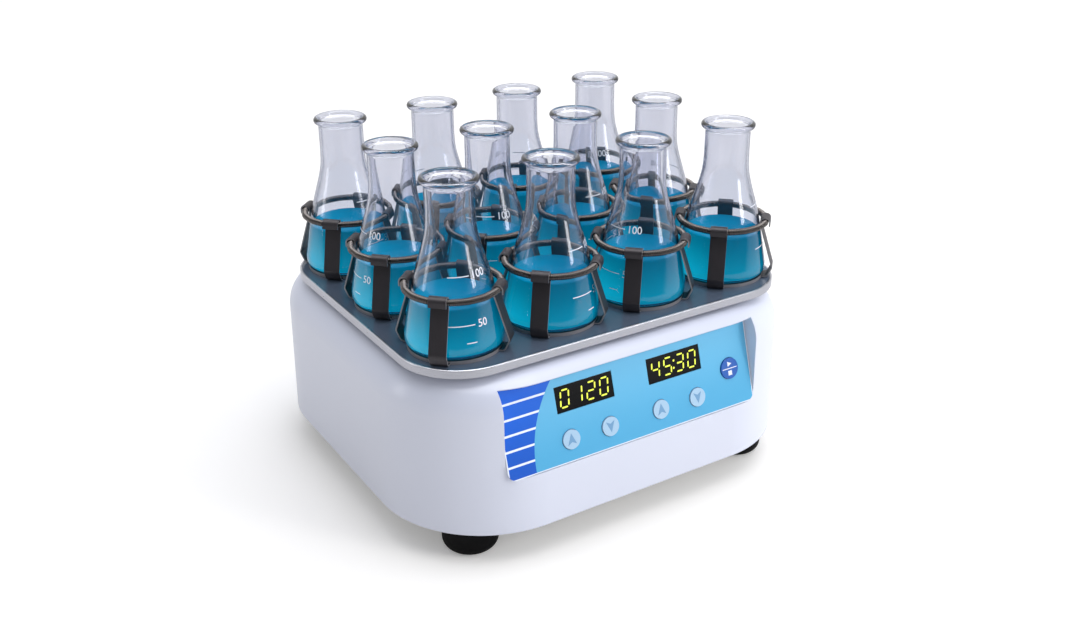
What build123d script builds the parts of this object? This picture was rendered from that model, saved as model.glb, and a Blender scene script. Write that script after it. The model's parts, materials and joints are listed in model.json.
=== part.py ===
from build123d import *
from math import asin, cos, pi, radians, sin, tan
import os

# Orbital shaker: a belt-driven platform that circles without turning, with twelve clamped conical flasks.
# Millimetres, +Z up, front towards -Y, origin on the floor under the middle of the housing.

# Housing
body_width = 330.0
body_depth = 310.0
body_height = 111.0
corner_radius = 83.0
draft_angle = 1.15
shoulder_radius = 24.0
wall = 3.0
deck_thickness = 3.0

# Feet
foot_height = 24.0
foot_radius = 20.0
foot_rounding = 8.0
foot_inset_x = 45.0
foot_inset_y = 40.0
foot_x = body_width / 2 - foot_inset_x
foot_y = body_depth / 2 - foot_inset_y

# Base plate
plate_recess = 2.0
plate_thickness = 3.0
plate_gap = 0.4
vent_length = 46.0
vent_width = 3.0
vent_pitch = 8.0
vent_count = 6
vent_centre_x = 48.0
vent_inset = 37.0

# Control panel and what shows in it
panel_width = 211.0
panel_shift = -4.4
panel_lean = 16.7
panel_bottom = 65.1
panel_top = 128.4
panel_step = 1.85
panel_corner = 6.0
overlay_thickness = 1.2
overlay_margin = 0.4
overlay_top_gap = 1.0
display_width = 47.0
display_height = 18.5
display_offset = 38.2
display_level = 44.4
display_gap = 0.3
display_sink = 0.2
key_radius = 6.8
start_key_radius = 7.8
key_level = 15.8
start_key_level = 29.0
key_offsets = {"speed_up": -54.4, "speed_down": -22.2, "time_up": 21.5, "time_down": 54.3}
start_key_offset = 86.3
key_travel = 0.8
key_proud = 1.0
key_gap = 0.3
key_flange = 1.4
key_flange_thickness = 1.2
key_stem_radius = 2.0
key_stem_length = 2.4
board_depth = 11.4
board_thickness = 1.6
board_width = 196.0
board_height = 56.0
board_low_edge = 5.0
board_post_radius = 3.5
board_post_inset = 6.0
switch_side = 6.0

# Orbit and drive
orbit_radius = 8.0
running_gap = 0.05
seat_gap = 0.05
shaft_radius = 7.5
shaft_foot = 2.0
main_bearing_radius = 17.5
main_bearing_height = 11.0
bearing_floor = 5.0
bearing_sink = 1.0
bearing_lip = 2.0
block_flange_radius = 40.0
block_flange_thickness = 6.0
block_radius = 26.0
block_height = 55.0
pulley_radius = 52.0
motor_pulley_radius = 16.0
pulley_flange = 3.0
pulley_flange_thickness = 3.0
pulley_groove = 8.0
pulley_lift = 3.0
belt_thickness = 2.0
belt_gap = 0.3
web_thickness = 4.0
hub_radius = 15.0
crank_radius = 20.0
crank_thickness = 10.0
pin_radius = 6.0
hub_bearing_radius = 14.0
hub_bearing_height = 8.0
hub_wall = 6.0
hub_seat_depth = 3.0
weight_radius = 50.0
weight_angle = 150.0

# Motor
motor_radius = 30.0
motor_height = 48.0
motor_distance = 96.0
motor_chamfer = 2.0
motor_pulley_gap = 1.0
motor_shaft_radius = 4.0
motor_shaft_seat = 8.0
bracket_width = 72.0
bracket_depth = 68.0
bracket_thickness = 3.0
bracket_foot = 12.0
bracket_hole_radius = 12.0

# Idlers
idler_x = 95.0
idler_y = 62.0
idler_post_radius = 16.0
idler_flange_radius = 21.0
idler_flange_thickness = 5.0
idler_bearing_radius = 13.0
idler_bearing_height = 8.0
idler_journal_radius = 5.0
idler_journal_length = 20.0
journal_side_gap = 2.0
journal_end_gap = 4.0
post_gap = 1.0
idler_crank_radius = 16.0
idler_crank_thickness = 7.0
idler_pin_radius = 4.0
carriage_bearing_radius = 11.0
carriage_bearing_height = 7.0
carriage_boss_wall = 4.0
carriage_seat_depth = 2.0

# Carriage and tray
carriage_width = 232.0
carriage_depth = 166.0
carriage_corner = 22.0
carriage_thickness = 5.0
carriage_window = 46.0
window_rib = 6.0
crank_clearance = 2.0
pillar_radius = 6.0
window_margin = 9.0
tray_width = 308.0
tray_depth = 254.0
tray_corner = 46.0
tray_thickness = 6.0
tray_clearance = 3.0
mat_thickness = 1.0
mat_rim = 1.5
tray_chamfer = 0.5

# Flasks and clamps
column_pitch = 76.0
row_pitch = 84.0
columns = 4
rows = {"front": -1, "middle": 0, "back": 1}
clamp_base_radius = 32.0
clamp_base_thickness = 2.5
strap_width = 12.0
strap_thickness = 1.0
strap_reach = 39.0
strap_heel = 8.5
strap_bend = 3.0
strap_root = 4.0
strap_lift = 0.4
strap_toe = 3.5
ring_radius = 31.6
ring_level = 43.5
ring_coil_radius = 2.5
hook_gap = 0.3
hook_neck = 1.5
hook_drop = 2.4
ring_sides = 16
flask_radius = 33.5
flask_foot_radius = 29.5
flask_heel = 6.0
flask_shoulder_radius = 26.5
flask_shoulder = 44.5
flask_neck_radius = 16.4
flask_neck = 80.0
flask_rim_radius = 19.6
flask_rim_height = 4.5
flask_rim_slope = 1.5
flask_height = 114.5
glass = 1.8
flask_floor = 2.7

# Screws
foot_screw_radius = 2.5
cover_screw_radius = 2.0
tray_screw_radius = 2.0
screw_gap = 0.2
screw_head_height = 3.0
tray_screw_head_height = 2.5
screw_bite = 14.0
screw_point = 1.0
tray_screw_grip = 3.6
boss_radius = 6.0
boss_inset = 19.0
boss_x = body_width / 2 - boss_inset
boss_y = 40.0
boss_height = 20.0

# Rear connections
pocket_width = 96.0
pocket_height = 42.0
pocket_x = 28.0
pocket_z = 62.0
pocket_depth = 5.5
inlet_x = 54.0
inlet_width = 31.0
inlet_height = 24.0
inlet_body_width = 27.0
inlet_body_height = 19.6
inlet_body_depth = 17.0
inlet_flange = 2.0
inlet_wall = 1.6
inlet_socket_depth = 15.0
inlet_pin_length = 9.0
inlet_pin_width = 2.0
inlet_pin_height = 4.0
inlet_pin_pitch = 7.0
inlet_pin_stagger = 2.0
fuse_x = 24.0
fuse_flange_radius = 8.0
fuse_flange_thickness = 1.5
fuse_slot_width = 1.6
fuse_slot_depth = 1.5
fuse_cap_radius = 6.0
fuse_cap_height = 5.0
fuse_body_radius = 6.4
fuse_body_depth = 24.0
rocker_x = -2.0
rocker_width = 10.0
rocker_half_length = 8.0
rocker_gap = 0.3
rocker_swing = 11.0
rocker_pin_radius = 1.2
frame_wall = 1.6
frame_lip = 1.6
frame_depth = 14.0
supply_width = 36.0
supply_depth = 36.0
supply_height = 34.0
supply_x = -22.0
supply_gap = 22.0
supply_y = block_flange_radius + supply_gap + supply_depth / 2

# How far a cutting shape stands past the face that it opens
cut_over = 1.0

# Levels worked out from the sizes above
body_bottom = foot_height
deck_top = body_bottom + body_height
plate_top = body_bottom + plate_recess + plate_thickness
tray_bottom = deck_top + tray_clearance
tray_top = tray_bottom + tray_thickness
flask_bottom = tray_top + clamp_base_thickness
block_top = plate_top + block_height
pulley_bottom = block_top + pulley_lift
pulley_height = pulley_groove + 2 * pulley_flange_thickness
pulley_top = pulley_bottom + pulley_height
groove_bottom = pulley_bottom + pulley_flange_thickness
crank_top = pulley_top + crank_thickness
hub_bottom = crank_top + crank_clearance
hub_bearing_bottom = hub_bottom + bearing_sink
hub_bearing_top = hub_bearing_bottom + hub_bearing_height
carriage_bottom = hub_bearing_top - hub_seat_depth
carriage_top = carriage_bottom + carriage_thickness
idler_boss_bottom = carriage_bottom - carriage_bearing_height + carriage_seat_depth
idler_seat_top = idler_boss_bottom + carriage_bearing_height
idler_crank_top = idler_boss_bottom - crank_clearance
idler_crank_bottom = idler_crank_top - idler_crank_thickness
idler_post_top = idler_crank_bottom - post_gap
high_bearing_bottom = block_top - main_bearing_height - bearing_sink
low_bearing_bottom = plate_top + bearing_floor
motor_top = pulley_bottom - motor_pulley_gap - bracket_thickness

# Places in plan: the motor stands to the left, the pillars rise between the flasks
motor_place = (-motor_distance, 0.0)
pillar_place = (column_pitch, row_pitch / 2)
rest_offset = (0.0, -orbit_radius)


def box(x0, x1, y0, y1, z0, z1):
    """A box between two corners."""
    return Pos((x0 + x1) / 2, (y0 + y1) / 2, (z0 + z1) / 2) * Box(x1 - x0, y1 - y0, z1 - z0)


def drum(radius, z0, z1, x=0.0, y=0.0):
    """An upright cylinder between two levels."""
    return Pos(x, y, (z0 + z1) / 2) * Cylinder(radius, z1 - z0)


def collar(outer, inner, z0, z1, x=0.0, y=0.0):
    """An upright tube between two levels."""
    return drum(outer, z0, z1, x, y) - drum(inner, z0, z1, x, y)


def corners(x, y):
    """The four points at plus and minus x and y, front left first."""
    return [(sx * x, sy * y) for sy in (-1, 1) for sx in (-1, 1)]


def join(shapes):
    """All the shapes fused into one."""
    whole = shapes[0]
    for shape in shapes[1:]:
        whole = whole + shape
    return whole


def front_face(z):
    """Where the drafted front of the housing lies at a level."""
    return -(body_depth / 2 - (z - body_bottom) * tan(radians(draft_angle)))


def save(name, shapes):
    """Writes one node from one shape or a list of separate shapes."""
    solids = [s for shape in (shapes if isinstance(shapes, list) else [shapes]) for s in shape.solids()]
    export_step(solids[0] if len(solids) == 1 else Compound(children=solids), f"parts/{name}.step")


# The leaning plane of the panel recess, with its origin at the middle of the lower edge
panel_plane = Plane(
    origin=(panel_shift, front_face(panel_bottom) + panel_step, panel_bottom),
    x_dir=(1, 0, 0),
    z_dir=(0, -cos(radians(panel_lean)), sin(radians(panel_lean))),
)
panel_height = (panel_top - panel_bottom) / cos(radians(panel_lean))


def panel_slab(half_width, low, high, inner, outer, radius):
    """A slab on the panel plane with rounded lower corners, from inner to outer along its normal."""
    outline = Pos(0, (low + high) / 2) * Rectangle(2 * half_width, high - low)
    outline = fillet(outline.vertices().sort_by(Axis.Y)[:2], radius)
    return panel_plane * (Pos(0, 0, inner) * extrude(outline, outer - inner))


def panel_block(u, v, width, height, inner, outer):
    """A rectangular block on the panel plane."""
    return panel_plane * (Pos(u, v, (inner + outer) / 2) * Box(width, height, outer - inner))


def panel_drum(u, v, radius, inner, outer):
    """A round piece that stands square to the panel plane."""
    return panel_plane * (Pos(u, v, (inner + outer) / 2) * Cylinder(radius, outer - inner))


def keys():
    """Name, place and radius of each key."""
    listed = [(name, u, key_level, key_radius) for name, u in key_offsets.items()]
    return listed + [("start_stop", start_key_offset, start_key_level, start_key_radius)]


def panel_windows(inner, outer):
    """Cutting shapes for the displays and the keys, from inner to outer along the panel's normal."""
    sides = (-display_offset, display_offset)
    windows = [panel_block(u, display_level, display_width, display_height, inner, outer) for u in sides]
    return join(windows + [panel_drum(u, v, radius + key_gap, inner, outer) for name, u, v, radius in keys()])


def shell_form(inset, top):
    """The drafted, round-shouldered form of the housing up to a level, set in all round by inset."""
    outline = RectangleRounded(body_width - 2 * inset, body_depth - 2 * inset, corner_radius - inset)
    form = Pos(0, 0, body_bottom) * extrude(outline, top - body_bottom, taper=draft_angle)
    return fillet(form.edges().group_by(Axis.Z)[-1], shoulder_radius - inset)


def board_posts():
    """Places of the posts that carry the control board."""
    u = board_width / 2 - board_post_inset
    levels = (board_low_edge + board_post_inset, board_low_edge + board_height - board_post_inset)
    return [(side * u, v) for side in (-1, 1) for v in levels]


def housing():
    """Moulded cover: drafted walls, round shoulder, leaning panel recess, opening for the tray pillars."""
    outer = shell_form(0.0, deck_top)
    cavity = shell_form(wall, deck_top - deck_thickness)
    below_lip = box(-body_width, body_width, -body_depth, 0, panel_bottom - wall, panel_top)
    half = panel_width / 2 + overlay_margin
    recess = panel_slab(half, 0.0, 2 * panel_height, 0.0, body_height, panel_corner + overlay_margin)
    recess = recess & below_lip
    backing = panel_slab(half + wall, -wall, 2 * panel_height, -wall, body_height, panel_corner + wall)
    cavity = cavity - backing
    shell = outer - recess - cavity
    # Columns for the cover screws, each with a web to the side wall
    for x, y in corners(boss_x, boss_y):
        column = drum(boss_radius, plate_top, plate_top + boss_height, x, y)
        side = 1 if x > 0 else -1
        x0, x1 = sorted((x, side * (body_width / 2 - wall / 2)))
        web = box(x0, x1, y - wall / 2, y + wall / 2, plate_top, plate_top + boss_height)
        shell = shell + column + web
        hole_top = plate_top + screw_bite + cut_over
        shell = shell - drum(cover_screw_radius + screw_gap, plate_top, hole_top, x, y)
    for u, v in board_posts():
        shell = shell + panel_drum(u, v, board_post_radius, -board_depth, -wall / 2)
    shell = shell - panel_windows(-wall - cut_over, cut_over)
    return shell + rear_pad() - rear_cuts() - deck_window()


def deck_window():
    """Cutting shape for the opening under the tray, wider than the carriage over its whole orbit."""
    grow = 2 * (orbit_radius + window_margin)
    corner = carriage_corner + orbit_radius + window_margin
    outline = RectangleRounded(carriage_width + grow, carriage_depth + grow, corner)
    bottom = deck_top - deck_thickness - cut_over
    return Pos(0, 0, bottom) * extrude(outline, deck_top + cut_over - bottom)


pocket_face = -front_face(pocket_z + pocket_height / 2) - pocket_depth


def rear_pad():
    """Inner wall round and behind the connector pocket."""
    half_x = pocket_width / 2 + wall
    half_z = pocket_height / 2 + wall
    y1 = body_depth / 2 - wall
    return pocket_block(half_x, half_z, pocket_face - wall, y1)


def pocket_block(half_x, half_z, y0, y1):
    """A block about the middle of the connector pocket."""
    return box(pocket_x - half_x, pocket_x + half_x, y0, y1, pocket_z - half_z, pocket_z + half_z)


def rear_cuts():
    """The pocket at the back and the holes for inlet, fuse holder and switch."""
    y0 = pocket_face - wall - cut_over
    y1 = pocket_face + cut_over
    pocket = pocket_block(pocket_width / 2, pocket_height / 2, pocket_face, body_depth)
    inlet = inlet_block(inlet_body_width, inlet_body_height, y0, y1)
    fuse = rear_drum(fuse_x, fuse_body_radius, y0, y1)
    switch = frame_block(0.0, y0, y1)
    return pocket + inlet + fuse + switch


def inlet_block(width, height, y0, y1):
    """A block round the axis of the mains inlet."""
    return box(inlet_x - width / 2, inlet_x + width / 2, y0, y1, pocket_z - height / 2, pocket_z + height / 2)


def rear_drum(x, radius, y0, y1):
    """A round piece along Y at the connectors' level."""
    return Pos(x, (y0 + y1) / 2, pocket_z) * Rot(90, 0, 0) * Cylinder(radius, y1 - y0)


def frame_block(grow, y0, y1):
    """A block with the switch frame's outline, larger all round by grow."""
    half_x = rocker_width / 2 + rocker_gap + frame_wall + grow
    half_z = rocker_reach + rocker_gap + frame_wall + grow
    return box(rocker_x - half_x, rocker_x + half_x, y0, y1, pocket_z - half_z, pocket_z + half_z)


# The rocker's profile, outwards from its pivot: a shallow V between two raised ends
rocker_rise = 6.0
rocker_valley = 3.4
rocker_belly = 3.0
rocker_edge = 1.5
rocker_depth = 3.0
rocker_pivot = pocket_face - rocker_depth
rocker_lean = radians(rocker_swing)
rocker_reach = rocker_half_length * cos(rocker_lean) + rocker_rise * sin(rocker_lean)


def base_plate():
    """Steel floor of the housing, with vent slots and screw holes."""
    inset = wall + plate_gap
    outline = RectangleRounded(body_width - 2 * inset, body_depth - 2 * inset, corner_radius - inset)
    plate = Pos(0, 0, plate_top - plate_thickness) * extrude(outline, plate_thickness)
    z0 = plate_top - plate_thickness - cut_over
    z1 = plate_top + cut_over
    for side in (-1, 1):
        for i in range(vent_count):
            y = vent_inset - body_depth / 2 + i * vent_pitch
            x = side * vent_centre_x
            plate = plate - box(x - vent_length / 2, x + vent_length / 2, y, y + vent_width, z0, z1)
    for x, y in corners(foot_x, foot_y):
        plate = plate - drum(foot_screw_radius + screw_gap, z0, z1, x, y)
    for x, y in corners(boss_x, boss_y):
        plate = plate - drum(cover_screw_radius + screw_gap, z0, z1, x, y)
    return plate


foot_screw_seat = foot_height - screw_bite + screw_head_height


def foot(x, y):
    """Rubber foot with a rounded sole and a counterbore for its screw."""
    top = plate_top - plate_thickness
    body = drum(foot_radius, 0.0, top, x, y)
    body = fillet(body.edges().group_by(Axis.Z)[0], foot_rounding)
    head = 2 * foot_screw_radius + screw_gap
    body = body - drum(head, 0.0, foot_screw_seat, x, y)
    return body - drum(foot_screw_radius + screw_gap, 0.0, top, x, y)


def foot_screw(x, y):
    """Pan-head screw through a foot into the base plate."""
    head = drum(2 * foot_screw_radius, foot_screw_seat - screw_head_height, foot_screw_seat, x, y)
    return head + drum(foot_screw_radius, foot_screw_seat - screw_head_height, plate_top + screw_point, x, y)


def cover_screw(x, y):
    """Screw from below through the base plate into a column of the housing."""
    seat = plate_top - plate_thickness
    head = drum(2 * cover_screw_radius, seat - screw_head_height, seat, x, y)
    return head + drum(cover_screw_radius, seat - screw_head_height, plate_top + screw_bite, x, y)


def control_panel():
    """Overlay in the recess, with windows for the displays and holes for the keys."""
    top = panel_height - overlay_top_gap
    slab = panel_slab(panel_width / 2, overlay_margin, top, 0.0, overlay_thickness, panel_corner)
    return slab - panel_windows(-cut_over, 2 * overlay_thickness)


def display(u):
    """Numeric display module, from the control board to just under the overlay's face."""
    width = display_width - 2 * display_gap
    height = display_height - 2 * display_gap
    return panel_block(u, display_level, width, height, -board_depth, overlay_thickness - display_sink)


def key(u, v, radius):
    """Round key: cap through the overlay, retaining flange and stem behind the wall."""
    shoulder = -wall - key_gap
    flange_back = shoulder - key_flange_thickness
    cap = panel_drum(u, v, radius, shoulder - key_flange_thickness / 2, overlay_thickness + key_proud)
    flange = panel_drum(u, v, radius + key_flange, flange_back, shoulder)
    return cap + flange + panel_drum(u, v, key_stem_radius, flange_back - key_stem_length, flange_back)


def control_board():
    """Circuit board on the housing's posts, with a push switch under each key."""
    middle = board_low_edge + board_height / 2
    board = panel_block(0.0, middle, board_width, board_height, -board_depth - board_thickness, -board_depth)
    switch_top = -wall - key_gap - key_flange_thickness - key_stem_length - key_travel - key_gap
    for name, u, v, radius in keys():
        switch_foot = -board_depth - board_thickness / 2
        board = board + panel_block(u, v, switch_side, switch_side, switch_foot, switch_top)
    return board


def bearing_block():
    """Flanged housing of the main shaft, with a bearing seat at each end."""
    flange = drum(block_flange_radius, plate_top, plate_top + block_flange_thickness)
    body = flange + drum(block_radius, plate_top, block_top)
    seat = main_bearing_radius + seat_gap
    waist = drum(main_bearing_radius - bearing_lip, low_bearing_bottom, block_top)
    low = drum(seat, low_bearing_bottom, low_bearing_bottom + main_bearing_height)
    high = drum(seat, high_bearing_bottom, block_top)
    return body - waist - low - high


def main_bearings():
    """The two ball bearings of the main shaft."""
    bore = shaft_radius + running_gap
    levels = (low_bearing_bottom, high_bearing_bottom)
    return [collar(main_bearing_radius, bore, z, z + main_bearing_height) for z in levels]


def drive_shaft():
    """Main shaft, its crank head and the eccentric pin, in the rest position."""
    shaft = drum(shaft_radius, plate_top + shaft_foot + bearing_floor, crank_top)
    head = drum(crank_radius, pulley_top, crank_top)
    pin = drum(pin_radius, pulley_top, hub_bearing_top, *rest_offset)
    return shaft + head + pin


def pulley(radius, flange, bore, bottom):
    """Flanged flat-belt pulley, with a thin web between hub and rim where it is wide."""
    top = bottom + pulley_height
    body = drum(radius, bottom, top)
    lower = drum(radius + flange, bottom, bottom + pulley_flange_thickness)
    upper = drum(radius + flange, top - pulley_flange_thickness, top)
    return body + lower + upper - drum(bore, bottom, top)


def driven_pulley():
    """Large pulley on the main shaft, dished below its web."""
    rim_inside = pulley_radius - pulley_flange_thickness
    dish = collar(rim_inside, hub_radius, pulley_bottom, pulley_top - web_thickness)
    return pulley(pulley_radius, pulley_flange, shaft_radius, pulley_bottom) - dish


def counterweight():
    """Sector on the pulley, opposite the eccentric pin."""
    half = radians(weight_angle / 2)
    reach = weight_radius * tan(half)
    wedge = Polyline((0, 0), (reach, weight_radius), (-reach, weight_radius), close=True)
    sector = Pos(0, 0, pulley_top) * extrude(make_face(wedge), crank_thickness)
    return sector & collar(weight_radius, crank_radius, pulley_top, crank_top)


def drive_belt():
    """Flat belt round both pulleys, a little off their grooves."""

    def loop(extra):
        big = pulley_radius + extra
        small = motor_pulley_radius + extra
        lean = asin((big - small) / motor_distance)
        start = (big * cos(lean), big * sin(lean))
        end = (small * cos(lean), motor_distance + small * sin(lean))
        edge = [start, end]
        left = [(-x, y) for x, y in reversed(edge)]
        bridge = make_face(Polyline(*edge, *left, close=True))
        return bridge + Circle(big) + Pos(0, motor_distance) * Circle(small)

    ring = loop(belt_gap + belt_thickness) - loop(belt_gap)
    width = pulley_groove - 2 * belt_gap
    # The loop is drawn towards +Y and turned towards the motor
    return Pos(0, 0, groove_bottom + belt_gap) * Rot(0, 0, 90) * extrude(ring, width)


def motor():
    """Motor can with a bore for its shaft."""
    can = drum(motor_radius, motor_top - motor_height, motor_top, *motor_place)
    can = chamfer(can.edges().group_by(Axis.Z)[0], motor_chamfer)
    bore = motor_shaft_radius + running_gap
    return can - drum(bore, motor_top - motor_shaft_seat, motor_top, *motor_place)


def motor_bracket():
    """Folded sheet bracket that carries the motor by its upper face."""
    half = bracket_width / 2
    x0 = motor_place[0] - bracket_depth / 2
    x1 = motor_place[0] + bracket_depth / 2
    table = box(x0, x1, -half, half, motor_top, motor_top + bracket_thickness)
    table = table - drum(bracket_hole_radius, motor_top, motor_top + bracket_thickness, *motor_place)
    for side in (-1, 1):
        leg = sorted((side * (half - bracket_thickness), side * half))
        foot_edges = sorted((side * (half - bracket_foot), side * half))
        table = table + box(x0, x1, *leg, plate_top, motor_top)
        table = table + box(x0, x1, *foot_edges, plate_top, plate_top + bracket_thickness)
    return table


def motor_shaft():
    """Motor shaft up to the top of its pulley."""
    return drum(motor_shaft_radius, motor_top - motor_shaft_seat + running_gap, pulley_top, *motor_place)


def motor_pulley():
    """Small pulley on the motor shaft."""
    small = pulley(motor_pulley_radius, pulley_flange, motor_shaft_radius, pulley_bottom)
    return Pos(*motor_place, 0) * small


def idler_post(x, y):
    """Post with a bearing seat at its top."""
    post = drum(idler_flange_radius, plate_top, plate_top + idler_flange_thickness, x, y)
    post = post + drum(idler_post_radius, plate_top, idler_post_top, x, y)
    seat_bottom = idler_post_top - idler_bearing_height
    post = post - drum(idler_bearing_radius + seat_gap, seat_bottom, idler_post_top, x, y)
    waist = idler_journal_radius + journal_side_gap
    return post - drum(waist, idler_post_top - idler_journal_length - journal_end_gap, idler_post_top, x, y)


def idler_bearing(x, y):
    """Ball bearing in the top of a post."""
    bottom = idler_post_top - idler_bearing_height
    return collar(idler_bearing_radius, idler_journal_radius + running_gap, bottom, idler_post_top, x, y)


def idler_crank(x, y):
    """Idler crank: journal, disc and eccentric pin, in the rest position."""
    journal = drum(idler_journal_radius, idler_post_top - idler_journal_length, idler_crank_top, x, y)
    disc = drum(idler_crank_radius, idler_crank_bottom, idler_crank_top, x, y)
    pin = drum(idler_pin_radius, idler_crank_bottom, idler_seat_top, x + rest_offset[0], y + rest_offset[1])
    return journal + disc + pin


tray_screw_seat = carriage_bottom + screw_gap + tray_screw_head_height


def at_rest(shape):
    """Moves a piece of the platform from the middle of its orbit to the rest position."""
    return Pos(*rest_offset, 0) * shape


def carriage():
    """Platform carrier: plate, hub and bearing bosses below it, pillars for the tray above it."""
    outline = RectangleRounded(carriage_width, carriage_depth, carriage_corner)
    plate = Pos(0, 0, carriage_bottom) * extrude(outline, carriage_thickness)
    window_x = hub_bearing_radius + hub_wall + window_rib + carriage_window / 2
    window_y = carriage_depth - 2 * carriage_window
    for side in (-1, 1):
        x = side * window_x
        half = carriage_window / 2
        plate = plate - box(x - half, x + half, -window_y / 2, window_y / 2, carriage_bottom, carriage_top)
    plate = plate + drum(hub_bearing_radius + hub_wall, hub_bottom, carriage_top)
    boss = carriage_bearing_radius + carriage_boss_wall
    for x, y in corners(idler_x, idler_y):
        plate = plate + drum(boss, idler_boss_bottom, carriage_top, x, y)
    for x, y in corners(*pillar_place):
        plate = plate + drum(pillar_radius, carriage_bottom, tray_bottom, x, y)
        plate = plate - drum(tray_screw_radius + screw_gap, carriage_bottom, tray_bottom, x, y)
        plate = plate - drum(2 * tray_screw_radius + screw_gap, carriage_bottom, tray_screw_seat, x, y)
    # Seats for the bearings, each open below and held by a lip above
    plate = plate - drum(hub_bearing_radius + seat_gap, hub_bottom, hub_bearing_top)
    plate = plate - drum(hub_bearing_radius - bearing_lip, hub_bottom, carriage_top)
    for x, y in corners(idler_x, idler_y):
        plate = plate - drum(carriage_bearing_radius + seat_gap, idler_boss_bottom, idler_seat_top, x, y)
    return at_rest(plate)


def hub_bearing():
    """Ball bearing between the eccentric pin and the carriage."""
    return at_rest(collar(hub_bearing_radius, pin_radius + running_gap, hub_bearing_bottom, hub_bearing_top))


def carriage_bearings():
    """Ball bearings between the idler pins and the carriage."""
    bore = idler_pin_radius + 2 * running_gap
    one = collar(carriage_bearing_radius, bore, idler_boss_bottom, idler_seat_top)
    return [at_rest(Pos(x, y, 0) * one) for x, y in corners(idler_x, idler_y)]


def tray():
    """Aluminium tray, with a shallow seat for its dark top sheet."""
    outline = RectangleRounded(tray_width, tray_depth, tray_corner)
    plate = Pos(0, 0, tray_bottom) * extrude(outline, tray_thickness)
    plate = chamfer(plate.edges().group_by(Axis.Z)[-1], tray_chamfer)
    plate = plate - Pos(0, 0, tray_top - mat_thickness) * extrude(mat_outline(0.0), mat_thickness)
    for x, y in corners(*pillar_place):
        hole_top = tray_bottom + tray_screw_grip + screw_gap
        plate = plate - drum(tray_screw_radius + screw_gap, tray_bottom, hole_top, x, y)
    return at_rest(plate)


def mat_outline(gap):
    """Outline of the tray's top sheet, or of its seat."""
    inset = mat_rim + gap
    return RectangleRounded(tray_width - 2 * inset, tray_depth - 2 * inset, tray_corner - inset)


def tray_mat():
    """Dark top sheet let into the tray."""
    sheet = Pos(0, 0, tray_top - mat_thickness) * extrude(mat_outline(seat_gap), mat_thickness)
    return at_rest(sheet)


def tray_screw(x, y):
    """Cylinder-head screw from below, up through a pillar into the tray."""
    head = drum(2 * tray_screw_radius, carriage_bottom + screw_gap, tray_screw_seat, x, y)
    shank = drum(tray_screw_radius, carriage_bottom + screw_gap, tray_bottom + tray_screw_grip, x, y)
    return at_rest(head + shank)


# Centre line of a clamp's strap in the upright plane through the flask's axis: radius, level above the tray
hook_radius = ring_coil_radius + hook_gap + strap_thickness / 2
strap_inner = ring_radius - hook_radius
strap_path = [
    (clamp_base_radius - strap_root, strap_thickness / 2 + strap_lift),
    (strap_reach - strap_toe, strap_thickness / 2 + strap_lift),
    (strap_reach, strap_heel),
    (strap_inner, ring_level - hook_neck),
    (strap_inner, ring_level + hook_radius),
    (ring_radius + hook_radius, ring_level + hook_radius),
    (ring_radius + hook_radius, ring_level - hook_drop),
]


def strap():
    """One bent strap of a clamp, along +X from the flask's axis."""
    line = FilletPolyline(*strap_path, radius=strap_bend)
    edge = offset(line, strap_thickness / 2, kind=Kind.INTERSECTION)
    section = make_face(edge.edges())
    return Pos(0, strap_width / 2, 0) * extrude(Plane.XZ * section, strap_width)


def clamp():
    """Flask clamp: round base and four straps on the diagonals, about its own axis."""
    base = drum(clamp_base_radius, 0.0, clamp_base_thickness)
    return join([base] + [Rot(0, 0, 45 + 90 * i) * strap() for i in range(4)])


def ring():
    """Coil spring ring, as the envelope of its coils, about the flask's axis."""
    # A flat of the outline, not a corner, lies in each hook
    turns = [radians(360 * (i + 0.5) / ring_sides) for i in range(ring_sides)]
    reach = ring_radius / cos(pi / ring_sides)
    path = Pos(0, 0, ring_level) * Polyline(*[(reach * cos(a), reach * sin(a)) for a in turns], close=True)
    start = path @ 0
    section = Plane(origin=start, z_dir=path % 0) * RegularPolygon(ring_coil_radius, 6)
    return sweep(section, path=path, transition=Transition.RIGHT)


def flask():
    """Wide-necked conical flask with a beaded rim, standing at level zero on its own axis."""
    rim_bottom = flask_height - flask_rim_height
    wall_points = [
        (0, 0),
        (flask_foot_radius, 0),
        (flask_radius, flask_heel),
        (flask_shoulder_radius, flask_shoulder),
        (flask_neck_radius, flask_neck),
        (flask_neck_radius, rim_bottom - flask_rim_slope),
        (flask_rim_radius, rim_bottom),
        (flask_rim_radius, flask_height),
        (flask_neck_radius - glass, flask_height),
        (flask_neck_radius - glass, flask_neck),
        (flask_shoulder_radius - glass, flask_shoulder),
        (flask_radius - glass, flask_heel),
        (flask_radius - glass, flask_floor),
        (0, flask_floor),
    ]
    return revolve(Plane.XZ * make_face(Polyline(*wall_points, close=True)), Axis.Z)


def row_places(row):
    """Axes of the flasks in one row."""
    first = -(columns - 1) / 2 * column_pitch
    return [(first + i * column_pitch, row * row_pitch) for i in range(columns)]


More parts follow.
